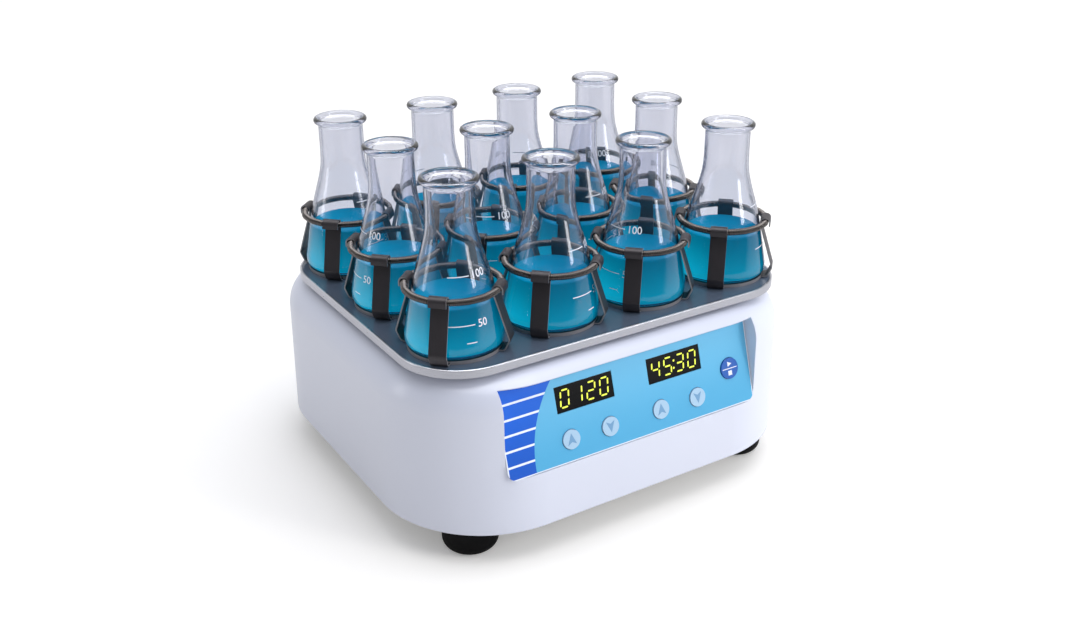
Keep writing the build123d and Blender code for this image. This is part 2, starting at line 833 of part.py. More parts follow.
def power_inlet():
    """Three-pin mains inlet: flange, body with an open socket, pins."""
    flange = inlet_block(inlet_width, inlet_height, pocket_face, pocket_face + inlet_flange)
    body_width_fit = inlet_body_width - 2 * seat_gap
    body_height_fit = inlet_body_height - 2 * seat_gap
    body = inlet_block(body_width_fit, body_height_fit, pocket_face - inlet_body_depth, pocket_face)
    mouth = pocket_face + inlet_flange
    socket_floor = mouth - inlet_socket_depth
    socket_width = inlet_body_width - 2 * inlet_wall
    socket_height = inlet_body_height - 2 * inlet_wall
    whole = flange + body - inlet_block(socket_width, socket_height, socket_floor, mouth)
    for step, rise in ((-1, -1), (0, 1), (1, -1)):
        place = Pos(step * inlet_pin_pitch, 0, rise * inlet_pin_stagger)
        y1 = socket_floor + inlet_pin_length
        whole = whole + place * inlet_block(inlet_pin_width, inlet_pin_height, socket_floor - cut_over, y1)
    return whole


def fuse_holder():
    """Round fuse holder with a slotted cap."""
    body = rear_drum(fuse_x, fuse_body_radius - seat_gap, pocket_face - fuse_body_depth, pocket_face)
    flange_front = pocket_face + fuse_flange_thickness
    flange = rear_drum(fuse_x, fuse_flange_radius, pocket_face, flange_front)
    cap_front = flange_front + fuse_cap_height
    cap = rear_drum(fuse_x, fuse_cap_radius, pocket_face, cap_front)
    half_x = fuse_cap_radius
    half_z = fuse_slot_width / 2
    y0 = cap_front - fuse_slot_depth
    slot = box(fuse_x - half_x, fuse_x + half_x, y0, cap_front, pocket_z - half_z, pocket_z + half_z)
    return body + flange + cap - slot


def switch_frame():
    """Frame of the power switch: lip outside, box inside, with a window for the rocker."""
    body = frame_block(-seat_gap, pocket_face - frame_depth, pocket_face)
    lip = frame_block(frame_lip, pocket_face, pocket_face + frame_lip)
    half_x = rocker_width / 2 + rocker_gap
    half_z = rocker_reach + rocker_gap
    y0 = pocket_face - frame_depth + frame_wall
    y1 = pocket_face + 2 * frame_lip
    window = box(rocker_x - half_x, rocker_x + half_x, y0, y1, pocket_z - half_z, pocket_z + half_z)
    pin = rocker_pin(rocker_pin_radius + running_gap, frame_wall / 2)
    return body + lip - window - pin


def rocker_pin(radius, bite):
    """Pivot pin of the rocker, into the frame on both sides by bite."""
    length = rocker_width + 2 * rocker_gap + 2 * bite
    return Pos(rocker_x, rocker_pivot, pocket_z) * Rot(0, 90, 0) * Cylinder(radius, length)


def switch_rocker():
    """Rocker on its pivot pin, tipped to its off position."""
    profile = [
        (-rocker_half_length, rocker_edge),
        (-rocker_half_length, rocker_rise),
        (0, rocker_valley),
        (rocker_half_length, rocker_rise),
        (rocker_half_length, rocker_edge),
        (rocker_belly, -rocker_belly),
        (-rocker_belly, -rocker_belly),
    ]
    # Profile points are (along Z, outwards along Y)
    face = make_face(Polyline(*[(0, rise, along) for along, rise in profile], close=True))
    body = Pos(-rocker_width / 2, 0, 0) * extrude(face, rocker_width, dir=(1, 0, 0))
    tipped = Pos(rocker_x, rocker_pivot, pocket_z) * Rot(rocker_swing, 0, 0) * body
    return tipped + rocker_pin(rocker_pin_radius, frame_wall / 2 - 2 * running_gap)


def power_supply():
    """Enclosed supply module on the base plate."""
    place = Pos(supply_x, supply_y, plate_top + supply_height / 2)
    return place * Box(supply_width, supply_depth, supply_height)


def build():
    """Makes every node and writes it."""
    os.makedirs("parts", exist_ok=True)
    save("housing", housing())
    save("base_plate", base_plate())
    save("feet", [foot(x, y) for x, y in corners(foot_x, foot_y)])
    save("foot_screws", [foot_screw(x, y) for x, y in corners(foot_x, foot_y)])
    save("cover_screws", [cover_screw(x, y) for x, y in corners(boss_x, boss_y)])
    save("control_panel", control_panel())
    save("control_board", control_board())
    save("display_speed", display(-display_offset))
    save("display_time", display(display_offset))
    for name, u, v, radius in keys():
        save(f"key_{name}", key(u, v, radius))
    save("bearing_block", bearing_block())
    save("main_bearings", main_bearings())
    save("drive_shaft", drive_shaft())
    save("driven_pulley", driven_pulley())
    save("counterweight", counterweight())
    save("drive_belt", drive_belt())
    save("motor", motor())
    save("motor_bracket", motor_bracket())
    save("motor_shaft", motor_shaft())
    save("motor_pulley", motor_pulley())
    save("idler_posts", [idler_post(x, y) for x, y in corners(idler_x, idler_y)])
    for i, (x, y) in enumerate(corners(idler_x, idler_y), 1):
        save(f"idler_crank_{i}", idler_crank(x, y))
    save("idler_bearings", [idler_bearing(x, y) for x, y in corners(idler_x, idler_y)])
    save("carriage", carriage())
    save("hub_bearing", hub_bearing())
    save("carriage_bearings", carriage_bearings())
    save("tray", tray())
    save("tray_mat", tray_mat())
    save("tray_screws", [tray_screw(x, y) for x, y in corners(*pillar_place)])
    one_clamp = clamp()
    one_ring = ring()
    one_flask = flask()
    for name, row in rows.items():
        places = row_places(row)
        save(f"clamps_{name}", [at_rest(Pos(x, y, tray_top) * one_clamp) for x, y in places])
        save(f"rings_{name}", [at_rest(Pos(x, y, tray_top) * one_ring) for x, y in places])
        for i, (x, y) in enumerate(places, 1):
            save(f"flask_{name}_{i}", at_rest(Pos(x, y, flask_bottom) * one_flask))
    save("power_inlet", power_inlet())
    save("fuse_holder", fuse_holder())
    save("switch_frame", switch_frame())
    save("switch_rocker", switch_rocker())
    save("power_supply", power_supply())


build()
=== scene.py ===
import bpy
import bmesh
import json
from math import cos, pi, radians, sin
from mathutils import Matrix, Vector


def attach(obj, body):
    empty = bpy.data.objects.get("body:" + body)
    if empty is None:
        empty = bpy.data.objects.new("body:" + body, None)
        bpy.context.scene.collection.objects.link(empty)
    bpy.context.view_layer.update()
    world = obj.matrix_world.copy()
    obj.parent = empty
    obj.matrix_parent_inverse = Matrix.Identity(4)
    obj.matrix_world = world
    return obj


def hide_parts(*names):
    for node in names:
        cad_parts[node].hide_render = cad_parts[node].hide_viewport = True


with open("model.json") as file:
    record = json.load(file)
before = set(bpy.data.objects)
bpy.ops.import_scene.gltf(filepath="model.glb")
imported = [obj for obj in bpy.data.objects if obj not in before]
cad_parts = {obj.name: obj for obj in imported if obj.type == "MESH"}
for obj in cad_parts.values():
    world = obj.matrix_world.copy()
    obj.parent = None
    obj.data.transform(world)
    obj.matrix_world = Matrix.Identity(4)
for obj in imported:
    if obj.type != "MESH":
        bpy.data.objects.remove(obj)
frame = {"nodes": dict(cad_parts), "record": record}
nodes = frame["nodes"]
scene = bpy.context.scene


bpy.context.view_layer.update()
print("frame loaded:", len(nodes), "nodes")


# Sizes and places that several pieces share, in metres, as the solids have them
array = {
    "columnPitch": 0.076,
    "rowPitch": 0.084,
    "columns": 4,
    "centre": (0.0, -0.008),
    "trayTop": 0.144,
    "flaskLift": 0.0025,
}
rowNames = {"front": -1, "middle": 0, "back": 1}


# Node trees written as expressions, for shaders and for geometry alike
class Value:
    def __init__(self, graph, socket):
        self.graph = graph
        self.socket = socket

    def __add__(self, other): return self.graph.calc("ADD", self, other)
    def __radd__(self, other): return self.graph.calc("ADD", other, self)
    def __sub__(self, other): return self.graph.calc("SUBTRACT", self, other)
    def __rsub__(self, other): return self.graph.calc("SUBTRACT", other, self)
    def __mul__(self, other): return self.graph.calc("MULTIPLY", self, other)
    def __rmul__(self, other): return self.graph.calc("MULTIPLY", other, self)
    def __truediv__(self, other): return self.graph.calc("DIVIDE", self, other)
    def __rtruediv__(self, other): return self.graph.calc("DIVIDE", other, self)
    def __lt__(self, other): return self.graph.calc("LESS_THAN", self, other)
    def __abs__(self): return self.graph.calc("ABSOLUTE", self)


class Graph:
    def __init__(self, tree):
        self.tree = tree

    def node(self, kind, settings=None, inputs=None, output=0):
        made = self.tree.nodes.new(kind)
        for key, value in (settings or {}).items():
            setattr(made, key, value)
        for key, value in (inputs or {}).items():
            if isinstance(value, Value):
                self.tree.links.new(value.socket, made.inputs[key])
            else:
                made.inputs[key].default_value = value
        return Value(self, made.outputs[output])

    def calc(self, operation, *items):
        return self.node("ShaderNodeMath", {"operation": operation}, dict(enumerate(items)))

    def smooth(self, value, low, high):
        return self.node("ShaderNodeMapRange", {"interpolation_type": "SMOOTHSTEP"},
                         {"Value": value, "From Min": low, "From Max": high})

    def mix(self, factor, first, second):
        # A Mix node has its colours at inputs 6 and 7, and their mixture at output 2
        low, high = (item if isinstance(item, Value) else (*item, 1.0) for item in (first, second))
        return self.node("ShaderNodeMix", {"data_type": "RGBA"}, {0: factor, 6: low, 7: high}, 2)


class Finish(Graph):
    def __init__(self, name, constants):
        self.material = bpy.data.materials.new(name)
        self.material.use_nodes = True
        super().__init__(self.material.node_tree)
        self.shader = self.tree.nodes["Principled BSDF"]
        for key, value in constants.items():
            self.shader.inputs[key].default_value = value
        self.place = self.node("ShaderNodeTexCoord", output="Object")
        self.surface = None

    def axes(self, vector=None):
        split = self.node("ShaderNodeSeparateXYZ", {}, {0: vector or self.place})
        return [Value(self, out) for out in split.socket.node.outputs]

    def fromAxis(self, x, y):
        # How far a point lies from the axis of the flask that it belongs to
        across = array["columnPitch"]
        along = array["rowPitch"]
        dx = self.calc("WRAP", x - array["centre"][0], 0.0, across) - across / 2
        dy = self.calc("WRAP", y - array["centre"][1] + along / 2, 0.0, along) - along / 2
        return dx, dy

    def noise(self, scale, detail=2.0, stretch=None):
        where = self.place
        if stretch:
            where = self.node("ShaderNodeMapping", {}, {"Vector": where, "Scale": stretch})
        return self.node("ShaderNodeTexNoise", {}, {"Vector": where, "Scale": scale, "Detail": detail})

    def feed(self, name, value):
        self.tree.links.new(value.socket, self.shader.inputs[name])

    def rounded(self, radius):
        self.surface = self.node("ShaderNodeBevel", {"samples": 6}, {"Radius": radius})
        self.feed("Normal", self.surface)

    def thicken(self, colour, density):
        # Long paths through the body darken, as at the rim and along the sides
        haze = self.node("ShaderNodeVolumeAbsorption", {}, {"Color": (*colour, 1.0), "Density": density})
        self.tree.links.new(haze.socket, self.tree.nodes["Material Output"].inputs["Volume"])

    def relief(self, height, depth, strength=1.0):
        inputs = {"Height": height, "Distance": depth, "Strength": strength}
        if self.surface:
            inputs["Normal"] = self.surface
        self.surface = self.node("ShaderNodeBump", {}, inputs)
        self.feed("Normal", self.surface)


plasticGrain = {"cloud": 14.0, "mottle": 60.0, "least": 0.85, "spread": 0.30, "coatRoughness": 0.08}
metalGrain = {"cloud": 35.0, "dark": 0.86, "least": 0.70, "spread": 0.60}


def scaled(colour, factor):
    return tuple(c * factor for c in colour)


def plasticFinish(name, colour, roughness, edge=0.0004, coat=0.0, grain=900.0, depth=0.00002,
                  tint=0.03, shine=0.5):
    # Edge is the radius of softened corners, grain and depth the texture, tint how uneven the colour is
    made = Finish(name, {"Coat Weight": coat, "Coat Roughness": plasticGrain["coatRoughness"],
                         "Specular IOR Level": shine})
    if edge:
        made.rounded(edge)
    cloud = made.noise(plasticGrain["cloud"], 3.0)
    made.feed("Base Color", made.mix(cloud, scaled(colour, 1 - tint), colour))
    mottle = made.noise(plasticGrain["mottle"], 4.0) * roughness * plasticGrain["spread"]
    made.feed("Roughness", roughness * plasticGrain["least"] + mottle)
    made.relief(made.noise(grain, 2.0), depth)
    return made


def metalFinish(name, colour, roughness, edge=0.0003, stretch=None, grain=400.0, depth=0.000012):
    # Stretch squeezes the grain along one axis, which leaves brushed streaks across it
    made = Finish(name, {"Metallic": 1.0})
    if edge:
        made.rounded(edge)
    cloud = made.noise(metalGrain["cloud"], 4.0)
    streak = made.noise(grain, 3.0, stretch)
    made.feed("Base Color", made.mix(cloud, scaled(colour, metalGrain["dark"]), colour))
    made.feed("Roughness", roughness * metalGrain["least"] + streak * roughness * metalGrain["spread"])
    made.relief(streak, depth)
    return made


def flaskPlaces(rowName):
    first = -(array["columns"] - 1) / 2 * array["columnPitch"]
    y = rowNames[rowName] * array["rowPitch"] + array["centre"][1]
    return [(first + i * array["columnPitch"] + array["centre"][0], y) for i in range(array["columns"])]


def newObject(name, mesh, body, material):
    made = bpy.data.objects.new(name, mesh)
    scene.collection.objects.link(made)
    mesh.materials.clear()
    mesh.materials.append(material)
    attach(made, body)
    return made


def meshFrom(name, build, smooth=None):
    work = bmesh.new()
    build(work)
    mesh = bpy.data.meshes.new(name)
    work.to_mesh(mesh)
    work.free()
    if smooth is not None:
        for face in mesh.polygons:
            face.use_smooth = True
        mesh.set_sharp_from_angle(angle=smooth)
    return mesh


def lathe(work, profile, centre, base, segments):
    # A profile of (radius, height) turned round an upright axis, poles closed
    x, y = centre
    turn = [2 * pi * i / segments for i in range(segments)]
    rings = []
    for radius, height in profile:
        spots = [(x + radius * cos(a), y + radius * sin(a)) for a in (turn if radius > 0 else turn[:1])]
        rings.append([work.verts.new((*spot, base + height)) for spot in spots])
    for low, high in zip(rings, rings[1:]):
        for i in range(segments):
            j = (i + 1) % segments
            corners = [low[i % len(low)], low[j % len(low)], high[j % len(high)], high[i % len(high)]]
            work.faces.new([v for k, v in enumerate(corners) if v not in corners[:k]])
    bmesh.ops.recalc_face_normals(work, faces=work.faces)


def throughPoints(points, steps):
    # A smooth line through the points, Catmull-Rom
    out = []
    padded = [points[0], *points, points[-1]]
    for a, b, c, d in zip(padded, padded[1:], padded[2:], padded[3:]):
        for i in range(steps):
            t = i / steps
            weights = (-t**3 + 2 * t**2 - t, 3 * t**3 - 5 * t**2 + 2,
                       -3 * t**3 + 4 * t**2 + t, t**3 - t**2)
            out.append(tuple(sum(w * p[k] for w, p in zip(weights, (a, b, c, d))) / 2 for k in (0, 1)))
    return out + [points[-1]]


# Camera at the photograph's place and angle, which are in degrees
camera = {
    "place": (-0.43811, -0.71308, 0.48522),
    "azimuth": -32.191,
    "elevation": 24.691,
    "roll": -0.369,
    "lens": 38.911,
    "sensor": 36.0,
}


def setCamera():
    azimuth, elevation, roll = (radians(camera[key]) for key in ("azimuth", "elevation", "roll"))
    back = Vector((sin(azimuth) * cos(elevation), -cos(azimuth) * cos(elevation), sin(elevation)))
    right = Vector((0, 0, 1)).cross(back).normalized()
    upward = back.cross(right)
    turned = (right * cos(roll) + upward * sin(roll), upward * cos(roll) - right * sin(roll), back)
    data = bpy.data.cameras.new("photoCamera")
    data.lens = camera["lens"]
    data.sensor_width = camera["sensor"]
    made = bpy.data.objects.new("photoCamera", data)
    made.matrix_world = Matrix.Translation(camera["place"]) @ Matrix(turned).transposed().to_4x4()
    scene.collection.objects.link(made)
    scene.camera = made


setCamera()
scene.view_settings.view_transform = "Standard"
print("camera set")

# Studio: white paper and walls, a soft lamp above, one in front on the right and one on the left
studio = {
    "level": 0.63,                          # plain light from all round
    "slope": 1.40,                          # how much more comes from the bright side
    "most": 1.42,
    "brightSide": (0.66, -0.32, 0.68),
    "tint": (0.905, 0.955, 1.08),
    "roomSide": (-0.48, -0.77, 0.42),       # the dim room in front of the bench, which gloss and glass show
    "roomEdge": (0.25, 0.80),
    "roomLevel": 0.10,
    "roomShade": 0.54,
    "ceiling": 4.5,                         # how much brighter gloss finds the light overhead
    "ceilingEdge": (0.78, 0.92),
    "lamps": {                              # power, width, height, place
        "keyLamp": (2.0, 0.70, 0.50, (0.10, -0.45, 1.30)),
        "rightLamp": (5.5, 0.30, 0.80, (0.71, -1.26, 0.63)),
        "leftLamp": (2.6, 0.30, 0.90, (-1.50, 0.60, 0.50)),
    },
    "aim": (0, 0, 0.1),
}
floorPaper = {
    "colour": (0.97, 0.93, 0.86),
    "cloud": 3.0,
    "dark": 0.995,
    "glow": (0.21, 0.21, 0.21),             # only the camera sees it, so that the paper is white
    "roomReach": (0.35, 1.1),
    "radius": 9.0,
}
black = (0.0, 0.0, 0.0)
white = (1.0, 1.0, 1.0)


def raysOf(graph):
    paths = graph.tree.nodes.new("ShaderNodeLightPath")
    return [Value(graph, paths.outputs[f"Is {kind} Ray"]) for kind in ("Camera", "Glossy", "Transmission")]


def floorFinish():
    # White paper; gloss and glass find it dim where it runs into the room
    ground = Finish("floorPaper", {"Roughness": 0.9, "Specular IOR Level": 0.1, "Emission Strength": 1.0})
    ground.material.cycles.emission_sampling = "NONE"
    onCamera, onGloss, onGlass = raysOf(ground)
    x, y, z = ground.axes()
    ahead = ground.smooth(x * studio["roomSide"][0] + y * studio["roomSide"][1], *floorPaper["roomReach"])
    dim = ground.calc("MAXIMUM", onGloss, onGlass) * ahead * (1 - studio["roomLevel"])
    dark = scaled(floorPaper["colour"], floorPaper["dark"])
    paper = ground.mix(ground.noise(floorPaper["cloud"]), dark, floorPaper["colour"])
    ground.feed("Base Color", ground.mix(dim, paper, black))
    ground.feed("Emission Color", ground.mix(onCamera, black, floorPaper["glow"]))
    return ground


def buildSurroundings():
    world = bpy.data.worlds.new("studio")
    scene.world = world
    world.use_nodes = True
    sky = Graph(world.node_tree)
    onCamera, onGloss, onGlass = raysOf(sky)
    heading = sky.node("ShaderNodeTexCoord", output="Generated")

    def towards(side):
        return sky.node("ShaderNodeVectorMath", {"operation": "DOT_PRODUCT"}, {0: heading, 1: side}, "Value")

    room = sky.smooth(towards(studio["roomSide"]), *studio["roomEdge"])
    soft = studio["level"] + towards(studio["brightSide"]) * studio["slope"]
    soft = sky.calc("MAXIMUM", sky.calc("MINIMUM", soft, studio["most"]), 0.0)
    soft = soft * (1 - room * studio["roomShade"])
    ceiling = sky.smooth(towards((0, 0, 1)), *studio["ceilingEdge"]) * studio["ceiling"]
    through = sky.calc("MAXIMUM", onGloss, onGlass)
    shown = sky.calc("MAXIMUM", onCamera, through * (1 - room * (1 - studio["roomLevel"]) + ceiling))
    special = sky.calc("MAXIMUM", onCamera, through)
    strength = soft * (1 - special) + shown
    tint = sky.mix(special, studio["tint"], white)
    paint = world.node_tree.nodes["Background"]
    world.node_tree.links.new(tint.socket, paint.inputs["Color"])
    world.node_tree.links.new(strength.socket, paint.inputs["Strength"])


def hangLamps():
    for name, (power, width, height, place) in studio["lamps"].items():
        data = bpy.data.lights.new(name, "AREA")
        data.shape = "RECTANGLE"
        data.energy = power
        data.size = width
        data.size_y = height
        lamp = bpy.data.objects.new(name, data)
        facing = (Vector(place) - Vector(studio["aim"])).to_track_quat("Z", "Y")
        lamp.matrix_world = Matrix.Translation(place) @ facing.to_matrix().to_4x4()
        scene.collection.objects.link(lamp)


def layFloor():
    mesh = meshFrom("floor", lambda work: bmesh.ops.create_circle(
        work, cap_ends=True, segments=64, radius=floorPaper["radius"]))
    mesh.materials.append(floorFinish().material)
    floor = bpy.data.objects.new("floor", mesh)
    scene.collection.objects.link(floor)


buildSurroundings()
hangLamps()
layFloor()
print("studio set")

# Plain finishes of the carried-over nodes
coverPaint = {
    "colour": (0.74, 0.76, 0.85),
    "dark": (0.72, 0.74, 0.83),
    "roughness": 0.30,
    "edge": 0.0009,
    "peelScale": 260.0,
    "peelDepth": 0.000006,
}


def coverFinish():
    # Glossy moulded paint: almost even, with a faint orange peel a few millimetres across
    made = Finish("coverGloss", {"Coat Weight": 0.12, "Coat Roughness": 0.12, "Specular IOR Level": 0.45})
    made.rounded(coverPaint["edge"])
    made.feed("Base Color", made.mix(made.noise(9.0, 2.0), coverPaint["dark"], coverPaint["colour"]))
    rough = coverPaint["roughness"]
    made.feed("Roughness", rough * 0.96 + made.noise(12.0, 1.0) * rough * 0.08)
    made.relief(made.noise(coverPaint["peelScale"], 1.0), coverPaint["peelDepth"])
    return made


traySheet = {
    "edgeColour": (0.50, 0.505, 0.55),
    "edgeRoughness": 0.30,
    "topColour": (0.112, 0.142, 0.190),
    "topRoughness": 0.22,
}
trayEdge = metalFinish("traySatin", traySheet["edgeColour"], traySheet["edgeRoughness"], 0.0006,
                       (1, 1, 14), 160.0)
trayTop = plasticFinish("trayTopSheet", traySheet["topColour"], traySheet["topRoughness"], 0.0, coat=0.08,
                        shine=0.32, grain=2600.0, depth=0.000006, tint=0.18)
springStrip = {
    "colour": (0.040, 0.035, 0.040),
    # The next colour is a painted highlight on the cut edges and on the rim of the round base
    "paintedHighlight": (0.26, 0.25, 0.26),           # cut edges and the rim of the round base
    "roughness": 0.46,
    "metallic": 0.35,
    "baseRadius": 0.032,
    "rimWidth": 0.0006,
}


def stripFinish():
    # Dark tempered strip with a painted highlight on its cut edges, which face across the line from the
    # flask's axis, and on the rim of the round base
    made = Finish("temperedStrip", {"Metallic": springStrip["metallic"]})
    made.rounded(0.0003)
    x, y, z = made.axes()
    normal = made.node("ShaderNodeNewGeometry", output="Normal")
    nx, ny, nz = made.axes(normal)
    dx, dy = made.fromAxis(x, y)
    reach = made.calc("SQRT", dx * dx + dy * dy) + 1e-6
    facing = abs((nx * dx + ny * dy) / reach)
    # Mask for the painted highlight: the cut edges, then the rim of the round base low down
    edge = (facing < 0.45) * (abs(nz) < 0.35)
    rim = abs(reach - springStrip["baseRadius"]) < springStrip["rimWidth"]
    low = z < array["trayTop"] + array["flaskLift"] + 0.0002
    edge = made.calc("MAXIMUM", edge, rim * low * (abs(nz) < 0.5))
    cloud = made.noise(90.0, 4.0)
    base = made.mix(cloud, scaled(springStrip["colour"], 0.75), springStrip["colour"])
    made.feed("Base Color", made.mix(edge, base, springStrip["paintedHighlight"]))
    grain = made.noise(500.0, 3.0, (1, 1, 0.08))
    made.feed("Roughness", springStrip["roughness"] * 0.7 + grain * springStrip["roughness"] * 0.6)
    made.relief(grain, 0.00001)
    return made


finishes = {
    "cover": coverFinish(),
    "sheet_steel": metalFinish("zincSheet", (0.60, 0.62, 0.64), 0.38, 0.0004, None, 120.0),
    "foot_rubber": plasticFinish("footRubber", (0.0025, 0.0025, 0.003), 0.62, 0.0005, grain=1100.0,
                                 depth=0.00008, tint=0.3, shine=0.12),
    "screw_steel": metalFinish("screwSteel", (0.58, 0.58, 0.60), 0.26, 0.0003),
    "board_green": plasticFinish("boardLacquer", (0.02, 0.16, 0.06), 0.4, 0.0, grain=700.0, tint=0.25),
    "display_black": plasticFinish("displayGlass", (0.003, 0.003, 0.004), 0.14, 0.0003, depth=0.000004,
                                   tint=0.4, shine=0.25),
    "key_pale": plasticFinish("keyPale", (0.42, 0.62, 0.79), 0.3, 0.0005, coat=0.1, tint=0.04),
    "key_blue": plasticFinish("keyBlue", (0.004, 0.110, 0.48), 0.3, 0.0005, coat=0.1, tint=0.1),
    "cast_alloy": metalFinish("castAlloy", (0.62, 0.63, 0.64), 0.5, 0.0006, None, 260.0, 0.00008),
    "bearing_steel": metalFinish("bearingSteel", (0.50, 0.51, 0.53), 0.2, 0.0004),
    "shaft_steel": metalFinish("groundSteel", (0.62, 0.63, 0.65), 0.18, 0.0004, (1, 1, 20), 90.0),
    "pulley_alloy": metalFinish("turnedAlloy", (0.68, 0.69, 0.71), 0.28, 0.0005, (1, 1, 16), 120.0),
    "weight_iron": metalFinish("castIron", (0.10, 0.10, 0.105), 0.6, 0.0008, None, 300.0, 0.0001),
    "belt_rubber": plasticFinish("beltRubber", (0.015, 0.015, 0.016), 0.7, 0.0003, depth=0.00006, tint=0.3),
    "motor_paint": plasticFinish("motorEnamel", (0.03, 0.034, 0.04), 0.35, 0.0008, coat=0.2, tint=0.15),
    "tray_alloy": trayEdge,
    "mat_dark": trayTop,
    "spring_steel": stripFinish(),
    "connector_black": plasticFinish("connectorBlack", (0.012, 0.012, 0.013), 0.42, 0.0004, grain=800.0,
                                     depth=0.00005, tint=0.2),
    "supply_case": metalFinish("supplyCase", (0.64, 0.64, 0.65), 0.34, 0.0005, (12, 1, 1), 90.0),
}
for entry in frame["record"]["subparts"]:
    finish = finishes.get(entry["material_slot"])
    if finish:
        mesh = nodes[entry["node"]].data
        mesh.materials.clear()
        mesh.materials.append(finish.material)
print("plain finishes given")

# Control panel: blue film in two fields, five white stripes, a pale border line
panel = {
    "lean": 16.7,
    "middle": -0.0044,
    "foot": (-0.15233, 0.0651),
    "width": 0.211,
    "height": 0.06609,
    "face": 0.0012,
    "arcCentre": (0.0008, 0.0031),
    "arcRadius": 0.0852,
    "stripes": (0.0521, 0.0416, 0.0311, 0.0206, 0.0099),
    "stripeWidth": 0.0015,
    "inkEdge": 0.0001,                      # half the width over which one ink gives way to the next
    "borderEdge": (0.0006, 0.0008),
    "footEdge": (0.0010, 0.0012),
    "paleTop": (0.16, 0.54, 0.80),
    "paleFoot": (0.085, 0.43, 0.70),
    "deepTop": (0.006, 0.14, 0.72),
    "deepFoot": (0.002, 0.10, 0.56),
    "line": (0.90, 0.94, 1.0),
}
panelUp = Vector((0, sin(radians(panel["lean"])), cos(radians(panel["lean"]))))
panelOut = Vector((0, -cos(radians(panel["lean"])), sin(radians(panel["lean"]))))
panelOrigin = Vector((panel["middle"], *panel["foot"]))


def onPanel(u, v, lift):
    return panelOrigin + Vector((u, 0, 0)) + panelUp * v + panelOut * lift


def panelFinish():
    made = Finish("panelFilm", {"Coat Weight": 0.12, "Coat Roughness": 0.1, "Specular IOR Level": 0.3})
    x, y, z = made.axes()
    u = x - panel["middle"]
    v = (y - panel["foot"][0]) * panelUp.y + (z - panel["foot"][1]) * panelUp.z
    rise = made.smooth(v, 0.0, panel["height"])
    pale = made.mix(rise, panel["paleFoot"], panel["paleTop"])
    deep = made.mix(rise, panel["deepFoot"], panel["deepTop"])
    du = u - panel["arcCentre"][0]
    dv = v - panel["arcCentre"][1]
    span = made.calc("SQRT", du * du + dv * dv)
    ink = panel["inkEdge"]
    outside = made.smooth(span, panel["arcRadius"] - ink, panel["arcRadius"] + ink) * (u < 0.0)
    half = panel["stripeWidth"] / 2
    stripe = None
    for level in panel["stripes"]:
        near = 1 - made.smooth(abs(v - level), half - ink, half + ink)
        stripe = near if stripe is None else stripe + near
    colour = made.mix(outside, pale, made.mix(stripe, deep, panel["line"]))
    border = 1 - made.smooth(abs(abs(u) - panel["width"] / 2), *panel["borderEdge"])
    foot = 1 - made.smooth(v, *panel["footEdge"])
    colour = made.mix(made.calc("MAXIMUM", border, foot), colour, panel["line"])
    made.feed("Base Color", colour)
    made.feed("Roughness", 0.26 + made.noise(200.0, 3.0) * 0.1)
    made.relief(made.noise(2500.0, 2.0), 0.000008)
    return made


nodes["control_panel"].data.materials.clear()
nodes["control_panel"].data.materials.append(panelFinish().material)
print("panel film printed")


def flatShape(work, outline, place, thickness):
    # A thin raised shape from a list of (u, v), set on the panel by place(u, v, lift)
    low = [work.verts.new(place(u, v, 0.0)) for u, v in outline]
    high = [work.verts.new(place(u, v, thickness)) for u, v in outline]
    work.faces.new(high)
    work.faces.new(list(reversed(low)))
    for i in range(len(outline)):
        j = (i + 1) % len(outline)
        work.faces.new((low[i], low[j], high[j], high[i]))
    bmesh.ops.recalc_face_normals(work, faces=work.faces)


# Number displays: slanted seven-bar digits behind a dark window
digits = {
    "speed": "0120",
    "time": "45:30",
    "places": {"speed": -0.0382, "time": 0.0382},
    "level": 0.0444,
    "height": 0.0118,
    "width": 0.0064,
    "pitch": 0.0107,
    "bar": 0.0011,
    "slant": 0.12,
    "sunk": 0.0002,
    "thickness": 0.00008,
    "colonRise": 0.0026,
    "dotRadius": 0.0008,
    "colour": (0.78, 0.80, 0.06),
}
barCodes = {"0": "abcdef", "1": "bc", "2": "abged", "3": "abgcd", "4": "fgbc",
            "5": "afgcd", "6": "afgedc", "7": "abc", "8": "abcdefg", "9": "abcdfg"}


def barOutline(bar, width, height, thick):
    # Six-sided bar of a digit about the digit's middle
    h = height / 2
    w = width / 2
    g = thick * 0.62
    runs = {"a": ((-w, h), (w, h)), "g": ((-w, 0), (w, 0)), "d": ((-w, -h), (w, -h)), "f": ((-w, 0), (-w, h)),
            "b": ((w, 0), (w, h)), "e": ((-w, -h), (-w, 0)), "c": ((w, -h), (w, 0))}
    (x0, y0), (x1, y1) = runs[bar]
    t = thick / 2
    if y0 == y1:
        x0, x1 = x0 + g, x1 - g
        return [(x0, y0), (x0 + t, y0 + t), (x1 - t, y0 + t), (x1, y0), (x1 - t, y0 - t), (x0 + t, y0 - t)]
    y0, y1 = y0 + g, y1 - g
    return [(x0, y0), (x0 + t, y0 + t), (x0 + t, y1 - t), (x0, y1), (x0 - t, y1 - t), (x0 - t, y0 + t)]


def digitPlace(u, v, lift):
    return onPanel(u + (v - digits["level"]) * digits["slant"], v, panel["face"] - digits["sunk"] + lift)


def signOutlines(sign, centre):
    # A digit's bars, or the colon's two dots, which stand before the next digit
    level = digits["level"]
    if sign != ":":
        bars = [barOutline(bar, digits["width"], digits["height"], digits["bar"]) for bar in barCodes[sign]]
        return [[(centre + x, level + y) for x, y in bar] for bar in bars]
    spot = centre - digits["pitch"] / 2
    size = digits["dotRadius"]
    turns = [radians(45 * i) for i in range(8)]
    rises = (-digits["colonRise"], digits["colonRise"])
    return [[(spot + size * cos(a), level + rise + size * sin(a)) for a in turns] for rise in rises]


